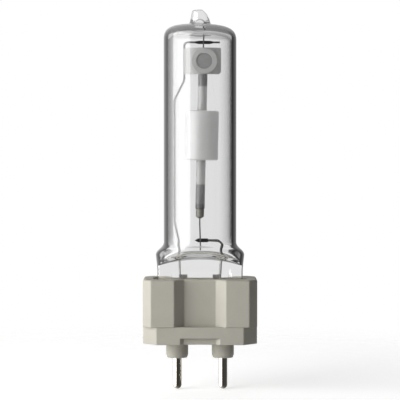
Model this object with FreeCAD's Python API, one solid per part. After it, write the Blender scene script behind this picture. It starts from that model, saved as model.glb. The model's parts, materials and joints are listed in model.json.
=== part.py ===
import FreeCAD, Part
import math
import os

from FreeCAD import Placement, Rotation, Vector

# Single-ended metal halide lamp with a ceramic arc tube, a quartz outer bulb and a ceramic two-pin cap.
# It stands upright. The origin lies midway between the pins, on the plane where they leave the cap's
# collars. +Z runs up the lamp, X along the row of pins and -Y towards the viewer. Sizes are in mm.

# Contact pins
PIN_PITCH = 12.0
PIN_DIA = 2.35
PIN_FREE_LENGTH = 8.4
PIN_SHANK_DIA = 2.8
PIN_HEAD_DIA = 3.6
PIN_HEAD_HEIGHT = 0.8
PIN_SOCKET_DEPTH = 3.0

# Ceramic cap, with a proud pad each side of a channel, front and back
COLLAR_DIA = 5.8
COLLAR_HEIGHT = 4.0
COLLAR_CHAMFER_HEIGHT = 0.8
COLLAR_CHAMFER_WIDTH = 0.3
CAP_WIDTH = 29.7
CAP_DEPTH = 15.4
CAP_HEIGHT = 16.8
CAP_EDGE_RADIUS = 0.45
CAP_RIM_CHAMFER = 0.35
CHANNEL_FLOOR_WIDTH = 8.2
CHANNEL_MOUTH_WIDTH = 13.4
CHANNEL_DEPTH = 2.6
PAD_OUTER_WIDTH = 25.5
PAD_CORNER_DEPTH = 2.3
FOOT_BAND_HEIGHT = 4.6
FOOT_BAND_FACE_WIDTH = 22.6
FOOT_BAND_SETBACK = 0.3
FOOT_BAND_CORNER_DEPTH = 3.7
FOOT_RELIEF_WIDTH = 8.4
FOOT_RELIEF_DEPTH = 1.0
FOOT_RELIEF_HEIGHT = 1.65
NUB_DIA = 1.8
NUB_HEIGHT = 0.7
NUB_SPACING = 20.4
POCKET_WIDTH = 24.4
POCKET_LENGTH_Y = 7.4
POCKET_DEPTH = 13.4
POCKET_CORNER_RADIUS = 1.6
CEMENT_BELOW_RIM = 0.5

# Quartz outer bulb: straight tube, pressed seal, domed crown and sealed exhaust tip
BULB_DIA = 19.0
BULB_WALL = 1.25
SEAL_WIDTH = 22.4
SEAL_THICKNESS = 4.8
SEAL_LENGTH = 15.0
SEAL_TOP = 27.0
SEAL_FLARE_WIDTH = 23.3
SEAL_FLARE_LENGTH = 4.6
SEAL_FLARE_LIP = 0.5
SEAL_FLARE_RADIUS = 2.0
SEAL_GROOVE_DEPTH = 0.7
SEAL_GROOVE_WIDTH = 15.6
SEAL_GROOVE_SLOPE = 0.6
SEAL_GROOVE_END_GAP = 2.8
SEAL_ARCH_RADIUS = 38.0
WAIST_HEIGHT = 2.9
WAIST_RADIUS = 3.0
JAW_ROOT_DEPTH = 1.0
JAW_ROOT_RADIUS = 0.8
JAW_KNEE_HEIGHT = 1.3
JAW_KNEE_INSET = 1.9
JAW_HEIGHT = 4.9
JAW_WALL = 0.9
JAW_MARGIN = 1.0
HOLLOW_FOOT_WIDTH = 0.9
HOLLOW_FOOT_DEPTH = 0.2
CROWN_TOP = 87.3
CROWN_HEIGHT = 4.8
CROWN_RISE = 0.86
CROWN_SHOULDER_INSET = 0.8
CROWN_EDGE_RADIUS = 1.9
CROWN_WALL = 1.7
INNER_SHOULDER_HEIGHT = 1.5
INNER_SHOULDER_INSET = 0.75
INNER_CROWN_RISE = 0.3
TIP_DIA = 5.8
TIP_HEIGHT = 3.7
TIP_RISE = 0.3
TIP_SHOULDER_DIA = 4.0
TIP_EDGE_RADIUS = 0.8
TIP_BORE_DIA = 3.0
TIP_END_WALL = 2.6

# Molybdenum foils and the wires welded to them
FOIL_WIDTH = 2.2
FOIL_THICKNESS = 0.06
FOIL_LENGTH = 7.9
FOIL_INSET = 2.0
FOIL_SPACING = 8.8
FOIL_OVERLAP = 1.6
WELD_FLAT = 0.08
OUTER_LEAD_DIA = 0.9
OUTER_LEAD_BEND = 0.9
FRAME_WIRE_DIA = 0.55
SHORT_LEAD_DIA = 0.7
WELD_BITE = 0.05
WELD_SLEEVE_WALL = 0.2
WELD_SLEEVE_CONE = 0.9

# Frame wire, seen from the front, up the left side and over the top
FRAME_FOOT_X = -5.6
FRAME_SIDE_X = -6.7
FRAME_NECK_X = -4.1
FRAME_LOWER_BEND_Z = 30.8
FRAME_SIDE_START_Z = 35.5
FRAME_SIDE_END_Z = 67.5
FRAME_NECK_START_Z = 72.6
FRAME_BEND = 2.0
CROSSBAR_Z = 82.5
CROSSBAR_END_X = 5.2
CROSSBAR_BEND = 1.0
UPPER_WELD_LEFT_X = -1.2
UPPER_WELD_RIGHT_X = 3.4

# Short lead, up the right side and across under the arc tube
SHORT_LEAD_X = 5.8
SHORT_LEAD_Z = 30.65
SHORT_LEAD_BEND = 1.4
LOWER_WELD_LEFT_X = -1.4
LOWER_WELD_RIGHT_X = 2.1

# Ceramic arc tube in five parts, which leans a little to the right
ARC_TUBE_DIA = 8.8
ARC_TUBE_LENGTH = 12.85
ARC_TUBE_WALL = 0.8
ARC_TUBE_EDGE = 0.25
ARC_TUBE_CENTRE_X = 0.4
ARC_TUBE_CENTRE_Z = 58.2
ARC_TUBE_LEAN = 1.2
END_PLUG_THICKNESS = 2.5
CAPILLARY_DIA = 2.45
CAPILLARY_BORE = 0.95
CAPILLARY_REACH = 19.1

# Current path through each end of the arc tube, from its centre outwards
ELECTRODE_DIA = 0.35
ELECTRODE_TIP = 2.7
ELECTRODE_END = 8.0
COIL_WIRE_DIA = 0.2
COIL_TURNS = 3
COIL_START = 2.95
MANDREL_END = 12.8
NIOBIUM_DIA = 0.85
FRIT_LENGTH = 2.6
FRIT_FLANGE_DIA = 2.1
FRIT_FLANGE_THICKNESS = 0.2
SLEEVE_DIA = 2.15
SLEEVE_LENGTH = 1.9
SLEEVE_CONE_LENGTH = 0.5
SLEEVE_TIP_DIA = 0.9
SLEEVE_BORE_DEPTH = 1.7
LINK_WIRE_DIA = 0.36
LINK_STRAIGHT = 1.2
LINK_BEND = 3.0
LOWER_LINK_END_X = 0.12
LOWER_LINK_END_Z = 28.7
UPPER_LINK_END_X = 1.1
UPPER_LINK_END_Z = 87.4

# Getter: a curved band on the frame wire, with a dished holder and its pill on the front
BAND_THICKNESS = 0.2
BAND_BOTTOM_Z = 74.1
BAND_HEIGHT = 6.9
BAND_TAB = 0.75
BAND_LEFT_X = -4.45
BAND_RIGHT_X = 5.5
BAND_SAG = 2.1
BAND_CORNER_RADIUS = 1.0
BAND_TIGHT_RADIUS = 0.33
HOLDER_DIA = 6.6
HOLDER_X = 1.1
HOLDER_Z = 77.5
HOLDER_DEPTH = 1.1
HOLDER_SHEET = 0.2
HOLDER_LIP = 0.5
PILL_DIA = 4.1
PILL_BELOW_RIM = 0.25
HOLDER_BITE = 0.1

# Heights and radii that follow from the sizes above
PIN_RADIUS = PIN_DIA / 2
CAP_BOTTOM = COLLAR_HEIGHT
CAP_TOP = CAP_BOTTOM + CAP_HEIGHT
POCKET_FLOOR = CAP_TOP - POCKET_DEPTH
SEAL_BOTTOM = SEAL_TOP - SEAL_LENGTH
BULB_RADIUS = BULB_DIA / 2
BULB_INNER_RADIUS = BULB_RADIUS - BULB_WALL
FOIL_BOTTOM = SEAL_BOTTOM + FOIL_INSET
FOIL_TOP = FOIL_BOTTOM + FOIL_LENGTH
ARC_TUBE_END = ARC_TUBE_LENGTH / 2
LINK_RADIUS = LINK_WIRE_DIA / 2
WIRE_FRONT_Y = FOIL_THICKNESS / 2 - WELD_FLAT
SHORT_LEAD_END_X = LOWER_WELD_LEFT_X + WELD_SLEEVE_CONE
ARC_TUBE_Y = WIRE_FRONT_Y - WELD_SLEEVE_WALL + WELD_BITE - LINK_RADIUS
FRIT_END = CAPILLARY_REACH + FRIT_FLANGE_THICKNESS
NIOBIUM_END = FRIT_END + SLEEVE_BORE_DEPTH
SLEEVE_END = FRIT_END + SLEEVE_LENGTH + SLEEVE_CONE_LENGTH

X_AXIS = Vector(1, 0, 0)
Z_AXIS = Vector(0, 0, 1)
Y_AXIS = Vector(0, 1, 0)
ORIGIN = Vector(0, 0, 0)


def rounded_path(points, radii, closed=False):
    """Wire of straight runs through the points, with a tangent arc of the given radius at each corner.

    A radius of zero leaves the corner sharp."""
    count = len(points)
    corners = range(count) if closed else range(1, count - 1)
    edges = []
    last = None if closed else points[0]
    first = None
    for index, radius in zip(corners, radii):
        corner = points[index]
        if radius == 0:
            edges.append(Part.makeLine(last, corner))
            last = corner
            continue
        back = (points[index - 1] - corner).normalize()
        ahead = (points[(index + 1) % count] - corner).normalize()
        half = back.getAngle(ahead) / 2
        reach = radius / math.tan(half)
        inward = (back + ahead).normalize()
        start = corner + back * reach
        middle = corner + inward * (radius / math.sin(half) - radius)
        end = corner + ahead * reach
        if last is None:
            first = start
        else:
            edges.append(Part.makeLine(last, start))
        edges.append(Part.Arc(start, middle, end).toShape())
        last = end
    edges.append(Part.makeLine(last, first if closed else points[-1]))
    return Part.Wire(edges)


def rod_along(path, diameter):
    """Round bar whose axis is the path."""
    start = path.Edges[0].valueAt(path.Edges[0].FirstParameter)
    direction = path.Edges[0].tangentAt(path.Edges[0].FirstParameter)
    section = Part.Wire(Part.makeCircle(diameter / 2, start, direction))
    return path.makePipe(Part.Face(section))


def prism(outline, bottom, height):
    """Upright solid on an outline of (x, y) points joined by straight lines."""
    points = [Vector(x, y, bottom) for x, y in outline]
    return Part.Face(Part.makePolygon(points + points[:1])).extrude(Z_AXIS * height)


def rounded_prism(outline, radius, bottom, height):
    """Upright solid on an outline of (x, y) points with rounded corners."""
    points = [Vector(x, y, bottom) for x, y in outline]
    wire = rounded_path(points, [radius] * len(points), closed=True)
    return Part.Face(wire).extrude(Z_AXIS * height)


def turned(outline):
    """Solid turned about Z from an outline of (radius, height) points."""
    points = [Vector(radius, 0, height) for radius, height in outline]
    return Part.Face(Part.makePolygon(points + points[:1])).revolve(ORIGIN, Z_AXIS, 360)


def tube(outer_diameter, bore, bottom, top):
    """Round tube about Z, or a plain bar where the bore is zero."""
    body = Part.makeCylinder(outer_diameter / 2, top - bottom, Vector(0, 0, bottom))
    if bore > 0:
        body = body.cut(Part.makeCylinder(bore / 2, top - bottom, Vector(0, 0, bottom)))
    return body


def four_sided(quarter):
    """Closed outline made from its quarter with x and y above zero, listed from the Y axis outwards."""
    right = quarter + [(x, -y) for x, y in reversed(quarter)]
    return right + [(-x, y) for x, y in reversed(right)]


def contact_pin(side):
    """Nickel-plated pin with a round nose, a thicker shank in its collar, a riveted head inside the cap and
    a socket for its lead."""
    nose_start = PIN_RADIUS - PIN_FREE_LENGTH
    free_part = tube(PIN_DIA, 0, nose_start, 0)
    shank = tube(PIN_SHANK_DIA, 0, 0, POCKET_FLOOR)
    nose = Part.makeSphere(PIN_RADIUS, Vector(0, 0, nose_start))
    head = tube(PIN_HEAD_DIA, 0, POCKET_FLOOR, POCKET_FLOOR + PIN_HEAD_HEIGHT)
    pin = free_part.fuse([nose, shank, head]).removeSplitter()
    head_top = POCKET_FLOOR + PIN_HEAD_HEIGHT
    socket = tube(OUTER_LEAD_DIA, 0, head_top - PIN_SOCKET_DEPTH, head_top)
    pin = pin.cut(socket)
    pin.translate(Vector(side * PIN_PITCH / 2, 0, 0))
    return pin


def cap_collar(side):
    """Boss round a pin, chamfered at its lower rim."""
    outer = COLLAR_DIA / 2
    outline = [
        (0, 0),
        (outer - COLLAR_CHAMFER_WIDTH, 0),
        (outer, COLLAR_CHAMFER_HEIGHT),
        (outer, COLLAR_HEIGHT),
        (0, COLLAR_HEIGHT),
    ]
    collar = turned(outline)
    collar.translate(Vector(side * PIN_PITCH / 2, 0, 0))
    return collar


def cap_body():
    """Pressed ceramic cap: pads and channels above a chamfered foot band, with a pocket for the seal."""
    half_width = CAP_WIDTH / 2
    half_depth = CAP_DEPTH / 2
    pad_quarter = [
        (CHANNEL_FLOOR_WIDTH / 2, half_depth - CHANNEL_DEPTH),
        (CHANNEL_MOUTH_WIDTH / 2, half_depth),
        (PAD_OUTER_WIDTH / 2, half_depth),
        (half_width, half_depth - PAD_CORNER_DEPTH),
    ]
    foot_face = half_depth - FOOT_BAND_SETBACK
    foot_quarter = [
        (FOOT_BAND_FACE_WIDTH / 2, foot_face),
        (half_width, foot_face - FOOT_BAND_CORNER_DEPTH),
    ]
    foot_top = CAP_BOTTOM + FOOT_BAND_HEIGHT
    upper = rounded_prism(four_sided(pad_quarter), CAP_EDGE_RADIUS, foot_top, CAP_TOP - foot_top)
    top_rim = [edge for edge in upper.Edges if edge.BoundBox.ZMin > CAP_TOP - CAP_EDGE_RADIUS / 2]
    upper = upper.makeChamfer(CAP_RIM_CHAMFER, top_rim)
    foot = rounded_prism(four_sided(foot_quarter), CAP_EDGE_RADIUS, CAP_BOTTOM, FOOT_BAND_HEIGHT)
    body = upper.fuse([foot] + [cap_collar(side) for side in (-1, 1)] + cap_nubs())
    return body.cut(cap_cuts()).removeSplitter()


def cap_nubs():
    """Two small feet under the cap, outside the collars."""
    nubs = []
    for side in (-1, 1):
        place = Vector(side * NUB_SPACING / 2, 0, CAP_BOTTOM - NUB_HEIGHT)
        nubs.append(Part.makeCylinder(NUB_DIA / 2, NUB_HEIGHT, place))
    return nubs


def cap_cuts():
    """The pocket, the holes for the pins, and the relief at the foot of each channel."""
    cuts = [pocket(POCKET_FLOOR, CAP_TOP)]
    for side in (-1, 1):
        hole = tube(PIN_SHANK_DIA, 0, 0, POCKET_FLOOR)
        hole.translate(Vector(side * PIN_PITCH / 2, 0, 0))
        cuts.append(hole)
        face = side * (CAP_DEPTH / 2 - FOOT_BAND_SETBACK)
        floor = face - side * FOOT_RELIEF_DEPTH
        outer = face + side * FOOT_RELIEF_DEPTH
        narrow = FOOT_RELIEF_WIDTH / 2
        wide = narrow + 2 * FOOT_RELIEF_DEPTH
        outline = [(-narrow, floor), (narrow, floor), (wide, outer), (-wide, outer)]
        cuts.append(prism(outline, CAP_BOTTOM, FOOT_RELIEF_HEIGHT))
    return cuts


def pocket(bottom, top):
    """The pocket's space between two levels."""
    quarter = [(POCKET_WIDTH / 2, POCKET_LENGTH_Y / 2)]
    return rounded_prism(four_sided(quarter), POCKET_CORNER_RADIUS, bottom, top - bottom)


def basing_cement(seal):
    """Cement that fills the pocket round the pressed seal."""
    return pocket(SEAL_BOTTOM, CAP_TOP - CEMENT_BELOW_RIM).cut(seal)


def turned_profile(corners):
    """Solid turned about Z from (radius, height, corner radius) triples, the first and last on the axis."""
    points = [Vector(across, 0, up) for across, up, _ in corners]
    path = rounded_path(points, [rounding for _, _, rounding in corners[1:-1]])
    wire = Part.Wire(path.Edges + [Part.makeLine(points[-1], points[0])])
    return Part.Face(wire).revolve(ORIGIN, Z_AXIS, 360)


def bulb_envelope():
    """Outer form of the bulb as if it were turned: seal, flare, waist, tube, crown and tip."""
    seal_half = SEAL_WIDTH / 2
    tip_top = CROWN_TOP + TIP_HEIGHT
    return turned_profile([
        (0, SEAL_BOTTOM, 0),
        (seal_half, SEAL_BOTTOM, 0),
        (seal_half, SEAL_TOP - SEAL_FLARE_LENGTH, 0),
        (SEAL_FLARE_WIDTH / 2, SEAL_TOP + SEAL_FLARE_LIP, SEAL_FLARE_RADIUS),
        (BULB_RADIUS, SEAL_TOP + WAIST_HEIGHT, WAIST_RADIUS),
        (BULB_RADIUS, CROWN_TOP - CROWN_HEIGHT, 0),
        (BULB_RADIUS - CROWN_SHOULDER_INSET, CROWN_TOP - CROWN_RISE, CROWN_EDGE_RADIUS),
        (TIP_DIA / 2, CROWN_TOP, 0),
        (TIP_SHOULDER_DIA / 2, tip_top - TIP_RISE, TIP_EDGE_RADIUS),
        (0, tip_top, 0),
    ])


def bulb_hollow():
    """Space inside the bulb as if it were turned, with the bore left in the exhaust tip."""
    bottom = SEAL_TOP - SEAL_FLARE_LENGTH
    flare_half = SEAL_FLARE_WIDTH / 2 - BULB_WALL
    inner_top = CROWN_TOP - CROWN_WALL
    bore_top = CROWN_TOP + TIP_HEIGHT - TIP_END_WALL
    return turned([
        (0, bottom),
        (flare_half, bottom),
        (flare_half, SEAL_TOP + SEAL_FLARE_LIP),
        (BULB_INNER_RADIUS, SEAL_TOP + WAIST_HEIGHT + BULB_WALL),
        (BULB_INNER_RADIUS, inner_top - INNER_SHOULDER_HEIGHT),
        (BULB_INNER_RADIUS - INNER_SHOULDER_INSET, inner_top - INNER_CROWN_RISE),
        (TIP_BORE_DIA / 2, inner_top),
        (TIP_BORE_DIA / 2, bore_top),
        (0, bore_top),
    ])


def outside_jaws(jaw, root_radius, low):
    """What a pair of press jaws would take off the glass: all that lies beyond their arched faces.

    jaw holds the (y, z) corners of one face, from the flat seal out past the tube, and low is where the gap
    between the two faces ends below."""
    arch_centre = Vector(0, 0, SEAL_TOP - SEAL_ARCH_RADIUS)
    half_side = SEAL_FLARE_WIDTH / 2 + JAW_MARGIN
    knee, rim = jaw[-2:]
    beyond = (2 * rim[0] - knee[0], 2 * rim[1] - knee[1])
    right = [Vector(0, jaw[0][0], low)] + [Vector(0, y, z) for y, z in jaw[:-1] + [beyond]]
    left = [Vector(0, -point.y, point.z) for point in reversed(right)]
    radii = [root_radius] + [0] * len(jaw[1:])
    outline = rounded_path(right + left, radii + radii[::-1])
    face = Part.Face(Part.Wire(outline.Edges + [Part.makeLine(left[-1], right[0])]))
    block_bottom = SEAL_BOTTOM - JAW_MARGIN
    swing = math.degrees(math.atan((half_side + JAW_MARGIN) / (block_bottom - arch_centre.z)))
    face.rotate(arch_centre, Y_AXIS, -swing)
    kept = face.revolve(arch_centre, Y_AXIS, 2 * swing)
    side = 2 * half_side
    corner = Vector(-half_side, -half_side, block_bottom)
    return Part.makeBox(side, side, rim[1] + JAW_WALL - block_bottom, corner).cut(kept)


def seal_grooves():
    """Shallow grooves down both faces of the seal, which leave a thicker rim at each side."""
    grooves = []
    for side in (-1, 1):
        floor = side * (SEAL_THICKNESS / 2 - SEAL_GROOVE_DEPTH)
        outer = side * (SEAL_THICKNESS / 2 + SEAL_GROOVE_DEPTH)
        narrow = SEAL_GROOVE_WIDTH / 2 - SEAL_GROOVE_SLOPE
        wide = SEAL_GROOVE_WIDTH / 2 + SEAL_GROOVE_SLOPE
        outline = [(-narrow, floor), (narrow, floor), (wide, outer), (-wide, outer)]
        top = SEAL_TOP - SEAL_GROOVE_END_GAP
        grooves.append(prism(outline, SEAL_BOTTOM, top - SEAL_BOTTOM))
    return grooves


def jaw_face(root, radius, rise):
    """(y, z) corners of a jaw's face: its root, its knee and its rim on the tube, raised by the wall's share."""
    level = SEAL_TOP - JAW_ROOT_DEPTH + rise
    return [root, (radius - JAW_KNEE_INSET, level + JAW_KNEE_HEIGHT), (radius, level + JAW_HEIGHT)]


def glass_forms():
    """The bulb's outer form and the space in it."""
    outer_root = (SEAL_THICKNESS / 2, SEAL_TOP - JAW_ROOT_DEPTH)
    outer_jaw = jaw_face(outer_root, BULB_RADIUS, 0)
    inner_root = (HOLLOW_FOOT_WIDTH / 2, SEAL_TOP - HOLLOW_FOOT_DEPTH)
    inner_jaw = jaw_face(inner_root, BULB_INNER_RADIUS, JAW_WALL)
    outside = outside_jaws(outer_jaw, JAW_ROOT_RADIUS, SEAL_BOTTOM - 2 * JAW_MARGIN)
    form = bulb_envelope().cut([outside] + seal_grooves())
    space = bulb_hollow().cut(outside_jaws(inner_jaw, 0, inner_root[1] - HOLLOW_FOOT_WIDTH / 2))
    return form, space


def outer_lead(side):
    """Lead from the foil's foot, out of the seal and across to the socket in its pin."""
    foil_x = side * FOIL_SPACING / 2
    pin_x = side * PIN_PITCH / 2
    head_top = POCKET_FLOOR + PIN_HEAD_HEIGHT
    y = FOIL_THICKNESS / 2 + OUTER_LEAD_DIA / 2 - WELD_FLAT
    points = [
        Vector(foil_x, y, FOIL_BOTTOM + FOIL_OVERLAP),
        Vector(foil_x, y, SEAL_BOTTOM - OUTER_LEAD_BEND / 2),
        Vector(pin_x, 0, head_top + OUTER_LEAD_BEND / 2),
        Vector(pin_x, 0, head_top - PIN_SOCKET_DEPTH),
    ]
    return rod_along(rounded_path(points, [OUTER_LEAD_BEND] * 2), OUTER_LEAD_DIA)


def seal_foil(side):
    """Thin foil that carries the current through the pressed seal."""
    corner = Vector(side * FOIL_SPACING / 2 - FOIL_WIDTH / 2, -FOIL_THICKNESS / 2, FOIL_BOTTOM)
    return Part.makeBox(FOIL_WIDTH, FOIL_THICKNESS, FOIL_LENGTH, corner)


def inner_wire_start(side, diameter):
    """Where an inner wire is welded to its foil, at the foil's outer edge."""
    edge = FOIL_SPACING / 2 + FOIL_WIDTH / 2
    y = WIRE_FRONT_Y + diameter / 2
    return Vector(side * (edge - diameter / 2), y, FOIL_TOP - FOIL_OVERLAP)


def frame_wire():
    """Long lead: up past the arc tube on the left, in behind the getter and over the top."""
    start = inner_wire_start(-1, FRAME_WIRE_DIA)
    route = [
        (FRAME_FOOT_X, FRAME_LOWER_BEND_Z),
        (FRAME_SIDE_X, FRAME_SIDE_START_Z),
        (FRAME_SIDE_X, FRAME_SIDE_END_Z),
        (FRAME_NECK_X, FRAME_NECK_START_Z),
        (FRAME_NECK_X, CROSSBAR_Z),
        (CROSSBAR_END_X, CROSSBAR_Z),
    ]
    points = [start] + [Vector(x, start.y, z) for x, z in route]
    radii = [FRAME_BEND] * (len(route) - 2) + [CROSSBAR_BEND]
    return rod_along(rounded_path(points, radii), FRAME_WIRE_DIA)


def short_lead():
    """Short lead: out of the seal on the right and across to the arc tube's lower wire."""
    start = inner_wire_start(1, SHORT_LEAD_DIA)
    route = [
        (SHORT_LEAD_X, SHORT_LEAD_Z),
        (SHORT_LEAD_END_X, SHORT_LEAD_Z),
    ]
    points = [start] + [Vector(x, start.y, z) for x, z in route]
    return rod_along(rounded_path(points, [SHORT_LEAD_BEND]), SHORT_LEAD_DIA)


def weld_sleeve(bar_diameter, height, left, right, runs_through):
    """Sleeve pressed over a bar where a link wire is welded across it. It is coned at both ends where the
    bar runs on through it, and otherwise closed by a cone over the bar's left end."""
    bore = bar_diameter / 2
    outer = bore + WELD_SLEEVE_WALL
    cone_end = left + WELD_SLEEVE_CONE
    if runs_through:
        outline = [(bore, left), (bore, right), (outer, right - WELD_SLEEVE_CONE), (outer, cone_end)]
    else:
        outline = [(0, left), (0, cone_end), (bore, cone_end), (bore, right), (outer, right)]
        outline.append((outer, cone_end))
    sleeve = turned(outline)
    sleeve.rotate(ORIGIN, Y_AXIS, 90)
    sleeve.translate(Vector(0, WIRE_FRONT_Y + bore, height))
    return sleeve


def arc_tube_placement(end):
    """Moves a piece from the arc tube's own axis to its place: end is 1 for the upper end, -1 for the lower."""
    centre = Vector(ARC_TUBE_CENTRE_X, ARC_TUBE_Y, ARC_TUBE_CENTRE_Z)
    lean = Rotation(Y_AXIS, ARC_TUBE_LEAN)
    turn = Rotation(Y_AXIS, 0 if end > 0 else 180)
    return Placement(centre, lean.multiply(turn))


def placed(shape, end):
    """The shape on the arc tube's leaning axis."""
    shape.Placement = arc_tube_placement(end)
    return shape


def arc_tube_body():
    """Translucent ceramic tube, with its rims eased."""
    outer = ARC_TUBE_DIA / 2
    bore = outer - ARC_TUBE_WALL
    eased = outer - ARC_TUBE_EDGE
    low = -ARC_TUBE_END
    outline = [
        (bore, low),
        (eased, low),
        (outer, low + ARC_TUBE_EDGE),
        (outer, ARC_TUBE_END - ARC_TUBE_EDGE),
        (eased, ARC_TUBE_END),
        (bore, ARC_TUBE_END),
    ]
    return turned(outline)


def end_plug():
    """Ceramic disc that closes one end of the tube round the capillary."""
    bore = ARC_TUBE_DIA - 2 * ARC_TUBE_WALL
    return tube(bore, CAPILLARY_DIA, ARC_TUBE_END - END_PLUG_THICKNESS, ARC_TUBE_END)


def capillary():
    """Narrow ceramic tube that holds the feedthrough."""
    return tube(CAPILLARY_DIA, CAPILLARY_BORE, ARC_TUBE_END - END_PLUG_THICKNESS, CAPILLARY_REACH)


def electrode_coil():
    """Fine wire wound close on the electrode just behind its tip."""
    inner = ELECTRODE_DIA / 2
    root = inner + COIL_WIRE_DIA / 2
    outer = inner + COIL_WIRE_DIA
    outline = [(inner, COIL_START)]
    for turn in range(COIL_TURNS):
        start = COIL_START + turn * COIL_WIRE_DIA
        outline += [(root, start), (outer, start + COIL_WIRE_DIA / 2)]
    end = COIL_START + COIL_TURNS * COIL_WIRE_DIA
    return turned(outline + [(root, end), (inner, end)])


def frit_seal():
    """Glass frit that seals the wire into the capillary and stands a little proud of its end."""
    bore = CAPILLARY_BORE / 2
    wire = NIOBIUM_DIA / 2
    outline = [
        (wire, CAPILLARY_REACH - FRIT_LENGTH),
        (bore, CAPILLARY_REACH - FRIT_LENGTH),
        (bore, CAPILLARY_REACH),
        (FRIT_FLANGE_DIA / 2, CAPILLARY_REACH),
        (FRIT_FLANGE_DIA / 2, FRIT_END),
        (wire, FRIT_END),
    ]
    return turned(outline)


def end_sleeve():
    """Metal sleeve that joins the capillary's thick wire to the thin link wire, with a coned end."""
    wire = NIOBIUM_DIA / 2
    outline = [
        (wire, FRIT_END),
        (SLEEVE_DIA / 2, FRIT_END),
        (SLEEVE_DIA / 2, FRIT_END + SLEEVE_LENGTH),
        (SLEEVE_TIP_DIA / 2, SLEEVE_END),
        (LINK_RADIUS, SLEEVE_END),
        (LINK_RADIUS, NIOBIUM_END),
        (wire, NIOBIUM_END),
    ]
    return turned(outline)


def link_wire(end, stop_x, stop_z):
    """Thin wire from the sleeve to its weld and a little beyond."""
    place = arc_tube_placement(end)
    points = [
        place.multVec(Vector(0, 0, NIOBIUM_END)),
        place.multVec(Vector(0, 0, SLEEVE_END + LINK_STRAIGHT)),
        Vector(stop_x, ARC_TUBE_Y, stop_z),
    ]
    return rod_along(rounded_path(points, [LINK_BEND]), LINK_WIRE_DIA)


def getter_band():
    """Springy metal band, flat where it is welded to the frame wire and bowed towards the front."""
    back = WIRE_FRONT_Y + WELD_BITE
    bow_start = BAND_LEFT_X + BAND_TAB
    half_chord = (BAND_RIGHT_X - bow_start) / 2
    radius = (half_chord**2 + BAND_SAG**2) / (2 * BAND_SAG)
    centre = Vector(bow_start + half_chord, back - BAND_SAG + radius, BAND_BOTTOM_Z)
    bow = Part.makeCylinder(radius + BAND_THICKNESS, BAND_HEIGHT, centre)
    bow = bow.cut(Part.makeCylinder(radius, BAND_HEIGHT, centre))
    span = BAND_RIGHT_X - bow_start
    front = Part.makeBox(
        span,
        BAND_SAG + 2 * BAND_THICKNESS,
        BAND_HEIGHT,
        Vector(bow_start, back - BAND_SAG - 2 * BAND_THICKNESS, BAND_BOTTOM_Z),
    )
    tab_corner = Vector(BAND_LEFT_X, back - BAND_THICKNESS, BAND_BOTTOM_Z)
    tab = Part.makeBox(BAND_TAB + BAND_THICKNESS, BAND_THICKNESS, BAND_HEIGHT, tab_corner)
    return bow.common(front).fuse(tab).common(band_outline()).removeSplitter()


def band_outline():
    """The band's outline from the front, as a block with rounded corners that runs front to back."""
    y = -BULB_RADIUS
    low = BAND_BOTTOM_Z
    high = BAND_BOTTOM_Z + BAND_HEIGHT
    corners = [(BAND_LEFT_X, low), (BAND_RIGHT_X, low), (BAND_RIGHT_X, high), (BAND_LEFT_X, high)]
    points = [Vector(x, y, z) for x, z in corners]
    wire = rounded_path(points, [BAND_TIGHT_RADIUS, BAND_CORNER_RADIUS] * 2, closed=True)
    return Part.Face(wire).extrude(Y_AXIS * BULB_DIA)


def facing_front(shape):
    """Turns a piece made about Z so that its top faces the viewer, and sets it on the band's crest."""
    crest = WIRE_FRONT_Y + WELD_BITE - BAND_SAG - BAND_THICKNESS
    shape.rotate(ORIGIN, X_AXIS, 90)
    shape.translate(Vector(HOLDER_X, crest + HOLDER_BITE, HOLDER_Z))
    return shape


def getter_holder():
    """Dish with a deep middle for the pill and a flat rim with its edge turned back."""
    well = PILL_DIA / 2
    rim = HOLDER_DIA / 2
    outline = [
        (0, 0),
        (well + HOLDER_SHEET, 0),
        (well + HOLDER_SHEET, HOLDER_DEPTH - HOLDER_SHEET),
        (rim - HOLDER_SHEET, HOLDER_DEPTH - HOLDER_SHEET),
        (rim - HOLDER_SHEET, HOLDER_DEPTH - HOLDER_LIP),
        (rim, HOLDER_DEPTH - HOLDER_LIP),
        (rim, HOLDER_DEPTH),
        (well, HOLDER_DEPTH),
        (well, HOLDER_SHEET),
        (0, HOLDER_SHEET),
    ]
    return facing_front(turned(outline))


def getter_pill():
    """Pressed pill of gas-absorbing metal powder."""
    return facing_front(tube(PILL_DIA, 0, HOLDER_SHEET, HOLDER_DEPTH - PILL_BELOW_RIM))


def arc_tube_end_parts(name, end):
    """The pieces of one end of the arc tube, from the electrode out to the sleeve."""
    pieces = {
        "end_plug": end_plug(),
        "capillary": capillary(),
        "electrode_rod": tube(ELECTRODE_DIA, 0, ELECTRODE_TIP, ELECTRODE_END),
        "electrode_coil": electrode_coil(),
        "feedthrough_rod": tube(NIOBIUM_DIA, 0, ELECTRODE_END, MANDREL_END),
        "niobium_lead": tube(NIOBIUM_DIA, 0, MANDREL_END, NIOBIUM_END),
        "frit_seal": frit_seal(),
        "end_sleeve": end_sleeve(),
    }
    return {f"{piece}_{name}": placed(shape, end) for piece, shape in pieces.items()}


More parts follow.
